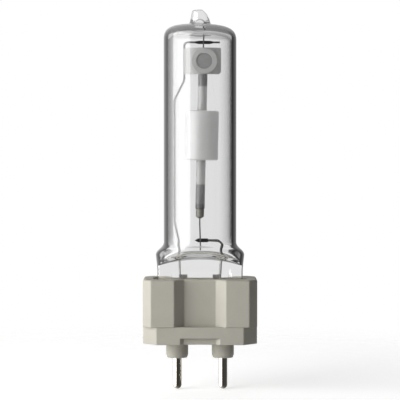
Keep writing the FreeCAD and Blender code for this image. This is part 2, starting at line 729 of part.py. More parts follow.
def lamp_parts():
    """Every piece of the lamp by name."""
    form, space = glass_forms()
    parts = {"cap_body": cap_body(), "basing_cement": basing_cement(form)}
    for name, side in (("left", -1), ("right", 1)):
        parts[f"contact_pin_{name}"] = contact_pin(side)
        foil = seal_foil(side)
        parts[f"seal_foil_{name}"] = foil
        parts[f"outer_lead_{name}"] = outer_lead(side).cut(foil)
    parts["arc_tube_body"] = placed(arc_tube_body(), 1)
    parts.update(arc_tube_end_parts("upper", 1))
    parts.update(arc_tube_end_parts("lower", -1))
    upper_link = link_wire(1, UPPER_LINK_END_X, UPPER_LINK_END_Z)
    lower_link = link_wire(-1, LOWER_LINK_END_X, LOWER_LINK_END_Z)
    parts["link_wire_upper"] = upper_link
    parts["link_wire_lower"] = lower_link
    band = getter_band()
    parts["getter_band"] = band
    parts["getter_holder"] = getter_holder().cut(band)
    parts["getter_pill"] = getter_pill()
    parts["frame_wire"] = frame_wire().cut([parts["seal_foil_left"], band])
    parts["short_lead"] = short_lead().cut(parts["seal_foil_right"])
    upper_sleeve = weld_sleeve(
        FRAME_WIRE_DIA, CROSSBAR_Z, UPPER_WELD_LEFT_X, UPPER_WELD_RIGHT_X, True
    )
    lower_sleeve = weld_sleeve(
        SHORT_LEAD_DIA, SHORT_LEAD_Z, LOWER_WELD_LEFT_X, LOWER_WELD_RIGHT_X, False
    )
    parts["weld_sleeve_upper"] = upper_sleeve.cut(upper_link)
    parts["weld_sleeve_lower"] = lower_sleeve.cut(lower_link)
    in_glass = ["frame_wire", "short_lead"]
    in_glass += [f"{piece}_{side}" for piece in ("seal_foil", "outer_lead") for side in ("left", "right")]
    parts["outer_bulb"] = form.cut(space).cut([parts[name] for name in in_glass])
    return parts


def main():
    os.makedirs("parts", exist_ok=True)
    for name, shape in lamp_parts().items():
        shape.exportStep(f"parts/{name}.step")
        print(name, round(shape.Volume, 3), "mm3", len(shape.Solids), "solid", shape.isValid())


main()
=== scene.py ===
import json
import math
from collections import namedtuple

import bpy
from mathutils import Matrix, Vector


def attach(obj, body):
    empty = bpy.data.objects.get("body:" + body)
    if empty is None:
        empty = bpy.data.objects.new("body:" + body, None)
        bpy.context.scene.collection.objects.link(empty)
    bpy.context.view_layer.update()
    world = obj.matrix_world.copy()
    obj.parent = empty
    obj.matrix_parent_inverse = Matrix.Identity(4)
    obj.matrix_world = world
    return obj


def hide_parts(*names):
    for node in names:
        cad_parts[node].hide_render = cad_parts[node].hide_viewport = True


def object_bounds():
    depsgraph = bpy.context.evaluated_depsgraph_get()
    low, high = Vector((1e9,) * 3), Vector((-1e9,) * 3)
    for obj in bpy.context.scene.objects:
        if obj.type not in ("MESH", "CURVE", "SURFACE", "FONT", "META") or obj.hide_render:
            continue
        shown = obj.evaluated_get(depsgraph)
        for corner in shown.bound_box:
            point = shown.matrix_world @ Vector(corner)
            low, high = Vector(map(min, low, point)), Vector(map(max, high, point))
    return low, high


# Single-ended metal halide lamp with a ceramic arc tube, in metres and in the frame of its solids.
# The origin lies between the two pins where they leave the cap. +Z runs up the lamp, -Y faces the viewer.

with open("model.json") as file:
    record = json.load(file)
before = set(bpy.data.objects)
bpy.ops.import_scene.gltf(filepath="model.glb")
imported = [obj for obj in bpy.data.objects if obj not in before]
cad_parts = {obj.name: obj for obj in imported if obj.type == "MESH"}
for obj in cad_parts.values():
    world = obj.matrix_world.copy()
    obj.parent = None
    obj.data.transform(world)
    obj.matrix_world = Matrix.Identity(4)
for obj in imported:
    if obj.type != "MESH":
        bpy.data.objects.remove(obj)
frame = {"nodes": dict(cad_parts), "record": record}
cad_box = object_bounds()
nodes = frame["nodes"]

MM = 0.001

# The bulb's tube
BULB_RADIUS = 9.5 * MM
BULB_WALL = 1.25 * MM
RING_POINTS = 160
TUBE_STEPS = 30

# The pressed seal and the groove in each of its faces
SEAL_BOTTOM = 12.0 * MM
SEAL_TOP = 27.0 * MM
SEAL_HALF_WIDTH = 11.2 * MM
SEAL_HALF_THICKNESS = 2.4 * MM
SEAL_FOOT_EASE = 0.3 * MM
SEAL_STEPS = 16
GROOVE_DEPTH = 0.7 * MM
GROOVE_HALF_WIDTH = 7.8 * MM
GROOVE_SIDE_SOFT = 0.6 * MM
GROOVE_TOP = 23.6 * MM
GROOVE_FADE_BELOW = 2.6 * MM
GROOVE_FADE_ABOVE = 1.2 * MM

# The marks of the press jaws: they follow an arch, grip to their root and part above it
ARCH_RADIUS = 38.0 * MM
ARCH_START = 14 * MM
ARCH_FULL = 20 * MM
ARCH_FADE = 28 * MM
ARCH_END = 36 * MM
JAW_ROOT = 25.9 * MM
INNER_JAW_ROOT = 26.75 * MM
JAW_RUN = 2.6 * MM
JAW_OPENING = 1.35
JAW_PARTING = 3.0
JAW_QUICKNESS = 2.2
JAW_ROUNDING = 0.8
JAW_END = 60 * MM
SLOT_SHARPNESS = 9
OPEN_SHARPNESS = 5
SHARPNESS_RUN = 1 * MM
HOLLOW_HALF_FOOT = 0.3 * MM

# The flare above the seal and the shoulder that leads it into the tube
FLARE_START = 22.4 * MM
FLARE_HALF_WIDTH = 11.6 * MM
FLARE_STEPS = 80
SHOULDER_END = 30.4 * MM
SHOULDER_PULL = 1.5 * MM
SHOULDER_LEAN = 0.15 * MM
SHOULDER_TUCK = 1.7 * MM
SHOULDER_STEPS = 34
INNER_SHOULDER_END = SHOULDER_END + 0.4 * MM
INNER_SHOULDER_PULL = 1.2 * MM
INNER_SHOULDER_STEPS = 90
INNER_SHOULDER_CROWDING = 1.5

# The crown, which sits a little crooked
CROWN_TOP = 87.2 * MM
CROWN_HEIGHT = 4.7 * MM
CROWN_POWER = 3.3
CROWN_STEPS = 28
CROWN_TILT = 0.22 * MM
CROWN_TILT_START = 76 * MM
CROWN_TILT_FULL = 87 * MM
INNER_CROWN_TOP = 85.45 * MM
INNER_CROWN_HEIGHT = 3.3 * MM
INNER_CROWN_POWER = 3.2
INNER_CROWN_STEPS = 24

# The exhaust tip and its bore, with (half width, height) of the cubic curves that draw them
TIP_TOP = 90.95 * MM
TIP_FOOT_RADIUS = 2.85 * MM
TIP_ROOT_FLARE = 0.45 * MM
TIP_RIM = (2.15 * MM, 90.2 * MM)
TIP_SIDE = (
    (TIP_FOOT_RADIUS, CROWN_TOP + 0.1 * MM),
    (2.6 * MM, 87.7 * MM),
    (2.35 * MM, 88.9 * MM),
    TIP_RIM,
)
TIP_SIDE_STEPS = 16
TIP_END = (TIP_RIM, (2.05 * MM, TIP_TOP - 0.1 * MM), (1.5 * MM, TIP_TOP), (0, TIP_TOP))
TIP_END_STEPS = 14
TIP_SLANT = 0.8
TIP_SLANT_EDGE = 0.6 * MM
TIP_SLANT_START = 88.4 * MM
TIP_SLANT_FULL = 90.6 * MM
BORE_RADIUS = 1.25 * MM
BORE_TOP = 88.4 * MM
BORE_ROOT_FLARE = 0.5 * MM
BORE = (
    (BORE_RADIUS + 0.35 * MM, INNER_CROWN_TOP + 0.05 * MM),
    (BORE_RADIUS, INNER_CROWN_TOP + 0.5 * MM),
    (BORE_RADIUS, BORE_TOP),
    (0, BORE_TOP),
)
BORE_STEPS = 14

# Places on the arc tube, as distances from its middle
ARC_TUBE_MIDDLE = 58.2 * MM
BODY_END = 6.5 * MM
LEAD_START = 12.8 * MM
FRIT_START = 17.9 * MM
END_SLEEVE_END = 22.3 * MM
SHARP_SOFT = 0.1 * MM
LEAD_SOFT = 0.3 * MM

# The leads inside the pressed seal, as distances below the arc tube's middle
SEALED_LEADS_START = ARC_TUBE_MIDDLE - 25.7 * MM
SEALED_LEADS_END = ARC_TUBE_MIDDLE - SEAL_BOTTOM

# Drawn and rolled metals: the way of their lines, what the lines do to the roughness, and their edges,
# with a highlight painted along them
ALONG_X = (0.02, 1.0, 1.0)
ALONG_Z = (1.0, 1.0, 0.02)
STREAK_LOW = 0.3
STREAK_HIGH = 0.7
SMOOTHER = 0.75
ROUGHER = 1.3
WIRE_EDGE = 0.08 * MM
STRIP_EDGE = 0.25 * MM
EDGE_HIGHLIGHT_SHARE = 0.5
EDGE_SHINE = 1.6

# Cosine between the softened and the plain normal where an edge counts in full
EDGE_COSINE = 0.8


def clamp(value):
    """The value held between 0 and 1."""
    return max(0.0, min(1.0, value))


def ease(low, high, value):
    """Smooth step from 0 at low to 1 at high."""
    t = clamp((value - low) / (high - low))
    return t * t * (3 - 2 * t)


def blend(a, b, t):
    """The value a share t of the way from a to b."""
    return a + (b - a) * t


def new_piece(name, vertices, faces, material, smooth=True):
    """A mesh object from its vertices and faces."""
    mesh = bpy.data.meshes.new(name)
    mesh.from_pydata(vertices, [], faces)
    mesh.validate()
    for polygon in mesh.polygons:
        polygon.use_smooth = smooth
    mesh.materials.append(material)
    piece = bpy.data.objects.new(name, mesh)
    bpy.context.scene.collection.objects.link(piece)
    return piece


# Node helpers

def new_material(name):
    """An empty material with its output node."""
    material = bpy.data.materials.new(name)
    material.use_nodes = True
    tree = material.node_tree
    tree.nodes.clear()
    output = tree.nodes.new("ShaderNodeOutputMaterial")
    return material, tree, output


def add_node(tree, kind, inputs=None, **settings):
    """A node with its settings and inputs: a value is set, and a socket is linked."""
    node = tree.nodes.new(kind)
    for key, value in settings.items():
        setattr(node, key, value)
    for key, value in (inputs or {}).items():
        if isinstance(value, bpy.types.NodeSocket):
            tree.links.new(value, node.inputs[key])
        else:
            node.inputs[key].default_value = value
    return node


def math_node(tree, operation, first, second=0.0, third=None):
    """Result of one sum on values or sockets."""
    inputs = {0: first, 1: second}
    if third is not None:
        inputs[2] = third
    return add_node(tree, "ShaderNodeMath", inputs, operation=operation).outputs[0]


def product(tree, first, *others):
    """Product of a socket and more values or sockets."""
    for other in others:
        first = math_node(tree, "MULTIPLY", first, other)
    return first


def rest_of(tree, share):
    """What a share leaves of one."""
    return math_node(tree, "SUBTRACT", 1.0, share)


def carried(tree, value, source, target, kind="LINEAR"):
    """A socket's value carried from one range into another and held there."""
    return add_node(tree, "ShaderNodeMapRange", {
        "Value": value, "From Min": source[0], "From Max": source[1],
        "To Min": target[0], "To Max": target[1],
    }, interpolation_type=kind).outputs[0]


def step_mask(tree, value, low, high):
    """Smooth step of a socket from 0 at low to 1 at high."""
    return carried(tree, value, (low, high), (0.0, 1.0), "SMOOTHSTEP")


def height_on_lamp(tree):
    """Height of a point above the place where the pins leave the cap."""
    place = add_node(tree, "ShaderNodeTexCoord").outputs["Object"]
    return add_node(tree, "ShaderNodeSeparateXYZ", {0: place}).outputs[2]


def distance_from_axis(tree):
    """Distance of a point from the lamp's upright axis."""
    place = add_node(tree, "ShaderNodeTexCoord").outputs["Object"]
    flat = add_node(tree, "ShaderNodeVectorMath", {0: place, 1: (1, 1, 0)}, operation="MULTIPLY")
    length = add_node(tree, "ShaderNodeVectorMath", {0: flat.outputs[0]}, operation="LENGTH")
    return length.outputs["Value"]


def mix_value(tree, factor, first, second):
    """Value between two values or sockets."""
    return add_node(tree, "ShaderNodeMix", {0: factor, 2: first, 3: second}).outputs[0]


def opaque(colour):
    """A colour with its full alpha. A socket stays as it is."""
    if isinstance(colour, bpy.types.NodeSocket):
        return colour
    return (*colour, 1.0)


def mix_colour(tree, factor, first, second):
    """Colour between two colours or sockets."""
    inputs = {0: factor, 6: opaque(first), 7: opaque(second)}
    return add_node(tree, "ShaderNodeMix", inputs, data_type="RGBA").outputs[2]


def bumped(tree, relief, strength, distance, normal=None):
    """Normal of a surface with a small relief."""
    inputs = {"Height": relief, "Strength": strength, "Distance": distance}
    if normal is not None:
        inputs["Normal"] = normal
    return add_node(tree, "ShaderNodeBump", inputs).outputs[0]


def mix_shaders(tree, factor, first, second):
    """Shader between those of two nodes."""
    return add_node(tree, "ShaderNodeMixShader", {0: factor, 1: first.outputs[0], 2: second.outputs[0]})


def finish_with(tree, shader, output):
    """Links the last shader node to the output."""
    tree.links.new(shader.outputs[0], output.inputs["Surface"])


def new_group(name, inputs, outputs):
    """A shader node group with its named sockets, its input node and its output node."""
    group = bpy.data.node_groups.new(name, "ShaderNodeTree")
    for label, kind, default in inputs:
        socket = group.interface.new_socket(label, in_out="INPUT", socket_type=kind)
        socket.default_value = default
    for label, kind in outputs:
        group.interface.new_socket(label, in_out="OUTPUT", socket_type=kind)
    start = group.nodes.new("NodeGroupInput")
    end = group.nodes.new("NodeGroupOutput")
    return group, start, end


def use_group(tree, group, inputs=None):
    """Outputs of the group, placed in a material with its own values."""
    return add_node(tree, "ShaderNodeGroup", inputs, node_tree=group).outputs


# Shader node groups

def make_grain_group():
    """Fine grain and broad mottling, for pressed and sintered surfaces."""
    group, start, end = new_group(
        "Pressed grain",
        [("Grain Scale", "NodeSocketFloat", 4000.0), ("Mottle Scale", "NodeSocketFloat", 300.0)],
        [("Grain", "NodeSocketFloat"), ("Mottle", "NodeSocketFloat")],
    )
    place = add_node(group, "ShaderNodeTexCoord").outputs["Object"]
    fine = add_node(group, "ShaderNodeTexNoise", {
        "Vector": place, "Scale": start.outputs["Grain Scale"], "Detail": 3.0, "Roughness": 0.6,
    })
    broad = add_node(group, "ShaderNodeTexNoise", {
        "Vector": place, "Scale": start.outputs["Mottle Scale"], "Detail": 4.0, "Roughness": 0.55,
    })
    group.links.new(fine.outputs[0], end.inputs["Grain"])
    group.links.new(broad.outputs[0], end.inputs["Mottle"])
    return group


def make_streak_group():
    """Fine lines along one axis, for drawn wire and rolled sheet."""
    group, start, end = new_group(
        "Drawn streaks",
        [("Stretch", "NodeSocketVector", ALONG_Z)],
        [("Streaks", "NodeSocketFloat"), ("Stain", "NodeSocketFloat")],
    )
    place = add_node(group, "ShaderNodeTexCoord").outputs["Object"]
    stretched = add_node(group, "ShaderNodeVectorMath", {0: place, 1: start.outputs["Stretch"]},
                         operation="MULTIPLY")
    lines = add_node(group, "ShaderNodeTexNoise", {
        "Vector": stretched.outputs[0], "Scale": 9000.0, "Detail": 2.0,
    })
    stain = add_node(group, "ShaderNodeTexNoise", {"Vector": place, "Scale": 420.0, "Detail": 3.0})
    group.links.new(lines.outputs[0], end.inputs["Streaks"])
    group.links.new(stain.outputs[0], end.inputs["Stain"])
    return group


def make_edge_group():
    """Rounded-looking edges: a softened normal, and a mask of how near an edge is."""
    group, start, end = new_group(
        "Eased edges",
        [("Radius", "NodeSocketFloat", 0.2 * MM)],
        [("Normal", "NodeSocketVector"), ("Edge", "NodeSocketFloat")],
    )
    soft = add_node(group, "ShaderNodeBevel", {"Radius": start.outputs["Radius"]}, samples=8).outputs[0]
    plain = add_node(group, "ShaderNodeNewGeometry").outputs["Normal"]
    same = add_node(group, "ShaderNodeVectorMath", {0: soft, 1: plain}, operation="DOT_PRODUCT")
    edge = carried(group, same.outputs["Value"], (1.0, EDGE_COSINE), (0.0, 1.0))
    group.links.new(soft, end.inputs["Normal"])
    group.links.new(edge, end.inputs["Edge"])
    return group


def make_tube_place_group():
    """Height above or below the middle of the arc tube."""
    group, _, end = new_group("Place on the arc tube", [], [("From Middle", "NodeSocketFloat")])
    from_middle = math_node(group, "SUBTRACT", height_on_lamp(group), ARC_TUBE_MIDDLE)
    group.links.new(math_node(group, "ABSOLUTE", from_middle), end.inputs["From Middle"])
    return group


GRAIN = make_grain_group()
STREAKS = make_streak_group()
EDGES = make_edge_group()
TUBE_PLACE = make_tube_place_group()


# Materials

# The quartz: how wavy it is, and the shade painted into its colour where it is seen along its wall
SEAL_WAVES = 0.6
SEAL_WAVES_FULL = 25 * MM
SEAL_WAVES_END = 31 * MM
CROWN_WAVES = 0.8
CROWN_WAVES_START = 85 * MM
CROWN_WAVES_FULL = 89 * MM
TUBE_WAVES = 0.04
CROWN_LOOK_START = 83.6 * MM
CROWN_LOOK_FULL = 86.2 * MM
SEAL_LOOK_FULL = 29 * MM
SEAL_LOOK_END = 32 * MM
OUTER_FACE_START = 8.8 * MM
OUTER_FACE_FULL = 9.0 * MM
TUBE_EDGE_SHADE_LEVEL = 0.06
CROWN_EDGE_GAIN = 0.70
SEAL_EDGE_GAIN = 0.28
WALL_DIMS_FROM = 0.2
WALL_DIM_AT = 0.75
OUTER_DIMS_FROM = 0.45
OUTER_DARK_AT = 0.545
CROWN_RIM_FROM = 0.80
CROWN_RIM_AT = 0.97
CROWN_RIM_DARKNESS = 0.85
# A dim glow painted into the upper wall as emission, for rays after more than two reflections
PAINTED_WALL_GLOW = 0.22
PAINTED_GLOW_AFTER = 2
PAINTED_GLOW_START = 45 * MM
PAINTED_GLOW_FULL = 60 * MM

# Colours and relief of the ceramics, the frit and the powder
BLACK = (0.0, 0.0, 0.0)
WHITE = (1.0, 1.0, 1.0)
GLASS_SHADOW = (0.62, 0.62, 0.62)
CAP_DARK = (0.40, 0.385, 0.33)
CAP_PALE = (0.46, 0.445, 0.385)
CAP_FLECK = (0.30, 0.28, 0.24)
CAP_FLECK_SHARE = 0.22
CAP_EDGE = (0.60, 0.58, 0.51)
CAP_EDGE_SHARE = 0.35
CAP_GRAIN_RELIEF = 0.6
CAP_MOTTLE_RELIEF = 0.8
CEMENT_DARK = (0.44, 0.42, 0.37)
CEMENT_PALE = (0.60, 0.58, 0.52)
ALUMINA_DARK = (0.58, 0.58, 0.57)
ALUMINA_PALE = (0.67, 0.67, 0.66)
SHOWN_CORE = (0.05, 0.05, 0.05)
THIN_WALL_SHARE = 0.56
LEAD_SHARE = 0.34
FRIT_SHARE = 0.12
FRIT_DARK = (0.05, 0.05, 0.04)
FRIT_PALE = (0.12, 0.11, 0.10)
POWDER_DARK = (0.12, 0.12, 0.12)
POWDER_PALE = (0.33, 0.33, 0.325)


def quartz_waves(tree, height):
    """Normal of the faint waves in the glass, stronger in the pressed seal and at the top of the crown."""
    pressed = carried(tree, height, (SEAL_WAVES_END, SEAL_WAVES_FULL), (0.0, SEAL_WAVES))
    worked = carried(tree, height, (CROWN_WAVES_START, CROWN_WAVES_FULL), (0.0, CROWN_WAVES))
    amount = math_node(tree, "ADD", math_node(tree, "MAXIMUM", pressed, worked), TUBE_WAVES)
    place = add_node(tree, "ShaderNodeTexCoord").outputs["Object"]
    waves = add_node(tree, "ShaderNodeTexNoise", {"Vector": place, "Scale": 330.0, "Detail": 1.0})
    return bumped(tree, product(tree, waves.outputs[0], amount), strength=0.5, distance=0.25 * MM)


def quartz_painted_edge_shade(tree, height):
    """Shade painted into the glass's colour by how flatly it is seen: dark where one looks along the
    tube's wall, less dark in the pressed seal, and hardly dark in the crown apart from its very rim."""
    facing = add_node(tree, "ShaderNodeLayerWeight", {"Blend": 0.5}).outputs["Facing"]
    crown = step_mask(tree, height, CROWN_LOOK_START, CROWN_LOOK_FULL)
    seal = step_mask(tree, height, SEAL_LOOK_END, SEAL_LOOK_FULL)
    at_edge = math_node(tree, "MULTIPLY_ADD", crown, CROWN_EDGE_GAIN, TUBE_EDGE_SHADE_LEVEL)
    at_edge = math_node(tree, "MULTIPLY_ADD", seal, SEAL_EDGE_GAIN, at_edge)
    wall = carried(tree, facing, (WALL_DIMS_FROM, WALL_DIM_AT), (1.0, at_edge))
    outer_wall = step_mask(tree, facing, OUTER_DARK_AT, OUTER_DIMS_FROM)
    outer_face = step_mask(tree, distance_from_axis(tree), OUTER_FACE_START, OUTER_FACE_FULL)
    painted_shade_factor = mix_value(tree, product(tree, outer_face, rest_of(tree, crown)), wall, outer_wall)
    rim = product(tree, crown, step_mask(tree, facing, CROWN_RIM_FROM, CROWN_RIM_AT))
    return product(tree, painted_shade_factor, math_node(tree, "MULTIPLY_ADD", rim, -CROWN_RIM_DARKNESS, 1.0))


def make_quartz():
    """Clear fused quartz, with shade painted into its colour at its edges. It dims the light of shadow
    rays. Light that stays in the upper wall after more than two reflections is stood in for by an even dim
    glow, painted in as emission."""
    material, tree, output = new_material("Clear quartz")
    height = height_on_lamp(tree)
    painted_shade_factor = quartz_painted_edge_shade(tree, height)
    # The glass's colour carries painted shade: it darkens towards the edges, where the wall is seen
    # flatly.
    glass = add_node(tree, "ShaderNodeBsdfPrincipled", {
        "Base Color": mix_colour(tree, painted_shade_factor, BLACK, WHITE), "Roughness": 0.01, "IOR": 1.458,
        "Transmission Weight": 1.0, "Normal": quartz_waves(tree, height),
    })
    path = add_node(tree, "ShaderNodeLightPath").outputs
    # Painted glow: emission in the upper wall for rays after more than two reflections, standing in for
    # light caught in the glass.
    painted_glow_share = product(tree, math_node(tree, "GREATER_THAN", path["Glossy Depth"], PAINTED_GLOW_AFTER),
                   step_mask(tree, height, PAINTED_GLOW_START, PAINTED_GLOW_FULL))
    painted_glow = add_node(tree, "ShaderNodeEmission", {"Color": opaque(WHITE), "Strength": PAINTED_WALL_GLOW})
    shaded = add_node(tree, "ShaderNodeBsdfTransparent", {"Color": opaque(GLASS_SHADOW)})
    lit = mix_shaders(tree, painted_glow_share, glass, painted_glow)
    finish_with(tree, mix_shaders(tree, path["Is Shadow Ray"], lit, shaded), output)
    return material


def make_cap_ceramic():
    """Pressed, unglazed grey-beige ceramic with a fine grain and eased, slightly paler edges."""
    material, tree, output = new_material("Cap ceramic")
    surface = use_group(tree, GRAIN, {"Grain Scale": 3600.0, "Mottle Scale": 260.0})
    edges = use_group(tree, EDGES, {"Radius": 0.35 * MM})
    body = mix_colour(tree, surface["Mottle"], CAP_DARK, CAP_PALE)
    flecked = mix_colour(tree, product(tree, surface["Grain"], CAP_FLECK_SHARE), body, CAP_FLECK)
    colour = mix_colour(tree, product(tree, edges["Edge"], CAP_EDGE_SHARE), flecked, CAP_EDGE)
    relief = math_node(tree, "MULTIPLY_ADD", surface["Grain"], CAP_GRAIN_RELIEF,
                       product(tree, surface["Mottle"], CAP_MOTTLE_RELIEF))
    shader = add_node(tree, "ShaderNodeBsdfPrincipled", {
        "Base Color": colour, "Roughness": 0.72,
        "Normal": bumped(tree, relief, strength=0.35, distance=0.08 * MM, normal=edges["Normal"]),
    })
    finish_with(tree, shader, output)
    return material


def make_cement():
    """Coarse cement in the cap's pocket."""
    material, tree, output = new_material("Basing cement")
    surface = use_group(tree, GRAIN, {"Grain Scale": 2600.0, "Mottle Scale": 500.0})
    relief = math_node(tree, "ADD", surface["Grain"], surface["Mottle"])
    shader = add_node(tree, "ShaderNodeBsdfPrincipled", {
        "Base Color": mix_colour(tree, surface["Mottle"], CEMENT_DARK, CEMENT_PALE), "Roughness": 0.85,
        "Normal": bumped(tree, relief, strength=0.7, distance=0.15 * MM),
    })
    finish_with(tree, shader, output)
    return material


def make_arc_tube_ceramic():
    """Translucent sintered alumina with a satin skin. The thin ends look darker than the body, and darker
    again where a lead and the frit fill them."""
    material, tree, output = new_material("Arc tube alumina")
    surface = use_group(tree, GRAIN, {"Grain Scale": 5200.0, "Mottle Scale": 380.0})
    edges = use_group(tree, EDGES, {"Radius": 0.12 * MM})
    body = mix_colour(tree, surface["Mottle"], ALUMINA_DARK, ALUMINA_PALE)
    from_middle = use_group(tree, TUBE_PLACE)["From Middle"]
    thin = step_mask(tree, from_middle, BODY_END - SHARP_SOFT, BODY_END + SHARP_SOFT)
    filled = step_mask(tree, from_middle, LEAD_START - LEAD_SOFT, LEAD_START + LEAD_SOFT)
    frit = step_mask(tree, from_middle, FRIT_START - SHARP_SOFT, FRIT_START + SHARP_SOFT)
    shown = product(tree, thin, THIN_WALL_SHARE)
    shown = math_node(tree, "MULTIPLY_ADD", filled, LEAD_SHARE, shown)
    shown = math_node(tree, "MULTIPLY_ADD", frit, FRIT_SHARE, shown)
    shader = add_node(tree, "ShaderNodeBsdfPrincipled", {
        "Base Color": mix_colour(tree, shown, body, SHOWN_CORE), "Roughness": 0.5,
        "Subsurface Weight": 1.0, "Subsurface Radius": (1, 1, 1), "Subsurface Scale": 6 * MM,
        "Coat Weight": 1.0, "Coat Roughness": 0.22, "Coat IOR": 2.5,
        "Normal": bumped(tree, surface["Grain"], strength=0.2, distance=0.02 * MM, normal=edges["Normal"]),
    })
    finish_with(tree, shader, output)
    return material


def make_frit():
    """Fused sealing frit, glossy and almost black."""
    material, tree, output = new_material("Sealing frit")
    surface = use_group(tree, GRAIN, {"Grain Scale": 3000.0, "Mottle Scale": 900.0})
    shader = add_node(tree, "ShaderNodeBsdfPrincipled", {
        "Base Color": mix_colour(tree, surface["Mottle"], FRIT_DARK, FRIT_PALE), "Roughness": 0.25,
        "Normal": bumped(tree, surface["Mottle"], strength=0.3, distance=0.06 * MM),
    })
    finish_with(tree, shader, output)
    return material


def make_getter_powder():
    """Pressed dark grey powder with a coarse, matt face."""
    material, tree, output = new_material("Getter powder")
    surface = use_group(tree, GRAIN, {"Grain Scale": 5000.0, "Mottle Scale": 1100.0})
    relief = math_node(tree, "ADD", surface["Grain"], surface["Mottle"])
    shader = add_node(tree, "ShaderNodeBsdfPrincipled", {
        "Base Color": mix_colour(tree, surface["Grain"], POWDER_DARK, POWDER_PALE), "Metallic": 0.3,
        "Roughness": 0.6, "Normal": bumped(tree, relief, strength=0.6, distance=0.08 * MM),
    })
    finish_with(tree, shader, output)
    return material


# Where a metal has other colours: between two distances from the middle of the arc tube
Zone = namedtuple("Zone", "start end dark pale")


def zoned(tree, colour, stain, zone):
    """The metal's colour, with the zone's own colours in the zone."""
    from_middle = use_group(tree, TUBE_PLACE)["From Middle"]
    there = product(tree, math_node(tree, "GREATER_THAN", from_middle, zone.start),
                    math_node(tree, "LESS_THAN", from_middle, zone.end))
    return mix_colour(tree, there, colour, mix_colour(tree, stain, zone.dark, zone.pale))


def make_metal(name, dark, pale, roughness, lines, eased=WIRE_EDGE, metallic=1.0, zone=None):
    """A metal with fine lines along one axis, a little staining and a highlight painted onto its edges."""
    material, tree, output = new_material(name)
    surface = use_group(tree, STREAKS, {"Stretch": lines})
    edges = use_group(tree, EDGES, {"Radius": eased})
    colour = mix_colour(tree, surface["Stain"], dark, pale)
    if zone:
        colour = zoned(tree, colour, surface["Stain"], zone)
    # Painted highlight: the colour turns paler and brighter along the edges.
    bright = tuple(min(1, EDGE_SHINE * channel) for channel in pale)
    colour = mix_colour(tree, product(tree, edges["Edge"], EDGE_HIGHLIGHT_SHARE), colour, bright)
    rough = carried(tree, surface["Streaks"], (STREAK_LOW, STREAK_HIGH),
                    (roughness * SMOOTHER, roughness * ROUGHER))
    normal = bumped(tree, surface["Streaks"], strength=0.15, distance=0.008 * MM, normal=edges["Normal"])
    shader = add_node(tree, "ShaderNodeBsdfPrincipled", {
        "Base Color": colour, "Metallic": metallic, "Roughness": rough, "Normal": normal,
    })
    finish_with(tree, shader, output)
    return material


FINISHES = {
    "quartz_glass": make_quartz(),
    "cap_ceramic": make_cap_ceramic(),
    "basing_cement": make_cement(),
    "pin_nickel": make_metal(
        "Pin nickel", dark=(0.58, 0.55, 0.48), pale=(0.70, 0.67, 0.60), roughness=0.09, lines=ALONG_Z,
    ),
    "molybdenum": make_metal(
        "Molybdenum wire", dark=(0.12, 0.12, 0.12), pale=(0.24, 0.24, 0.23), roughness=0.3, lines=ALONG_Z,
        zone=Zone(SEALED_LEADS_START, SEALED_LEADS_END, dark=(0.80, 0.80, 0.78), pale=(0.95, 0.95, 0.93)),
    ),
    "foil_metal": make_metal(
        "Foil", dark=(0.42, 0.41, 0.40), pale=(0.56, 0.55, 0.53), roughness=0.3, lines=ALONG_Z,
    ),
    "arc_tube_ceramic": make_arc_tube_ceramic(),
    "seal_frit": make_frit(),
    "niobium": make_metal(
        "Niobium", dark=(0.40, 0.39, 0.36), pale=(0.50, 0.49, 0.46), roughness=0.35, lines=ALONG_Z,
    ),
    "tungsten": make_metal(
        "Tungsten", dark=(0.26, 0.26, 0.27), pale=(0.36, 0.36, 0.37), roughness=0.45, lines=ALONG_Z,
    ),
    "sleeve_metal": make_metal(
        "Sleeve metal", dark=(0.02, 0.02, 0.02), pale=(0.045, 0.045, 0.04), roughness=0.3, lines=ALONG_X,
        zone=Zone(0.0, END_SLEEVE_END, dark=(0.34, 0.33, 0.29), pale=(0.46, 0.45, 0.40)),
    ),
    "getter_metal": make_metal(
        "Getter strip", dark=(0.33, 0.33, 0.33), pale=(0.39, 0.39, 0.38), roughness=0.5, lines=ALONG_X,
        eased=STRIP_EDGE, metallic=0.3,
    ),
    "getter_powder": make_getter_powder(),
}


def dress_solids():
    """Gives each carried-over solid the finish of its slot."""
    for row in frame["record"]["subparts"]:
        piece = nodes[row["node"]]
        piece.data.materials.clear()
        piece.data.materials.append(FINISHES[row["material_slot"]])


# The bulb

def arch_drop(across):
    """How far the press jaws' arch falls away at a distance from the middle."""
    return ARCH_RADIUS - math.sqrt(ARCH_RADIUS**2 - across**2)


def arch_share(height):
    """How far a ring follows the jaws' arch: fully at the seal's top, not at all on the tube."""
    return ease(ARCH_START, ARCH_FULL, height) * (1 - ease(ARCH_FADE, ARCH_END, height))


def jaw_gap(level, foot, root, radius):
    """Half the gap between the jaws, which part quickly above their root and then evenly."""
    up = clamp((level - root) / JAW_RUN)
    opened = (1 - (1 - up) ** JAW_QUICKNESS) ** JAW_ROUNDING
    return foot + (JAW_OPENING * radius - foot) * opened + JAW_PARTING * max(0, level - root - JAW_RUN)


def held_in(value, limit, sharpness):
    """The value kept under the limit, with a rounded shoulder."""
    return value / (1 + (abs(value) / limit) ** sharpness) ** (1 / sharpness)


def bezier_point(curve, t):
    """Point on a cubic curve."""
    weights = ((1 - t) ** 3, 3 * t * (1 - t) ** 2, 3 * t * t * (1 - t), t**3)
    return tuple(sum(w * p[axis] for w, p in zip(weights, curve)) for axis in (0, 1))


def curve_points(curve, steps, crowding=1.0):
    """Points along a cubic curve without its end. Crowding over 1 sets them closer at its start."""
    return [bezier_point(curve, (step / steps) ** crowding) for step in range(steps)]


def straight_points(width, bottom, top, steps):
    """Points up a straight side without its end."""
    return [(width, blend(bottom, top, step / steps)) for step in range(steps)]


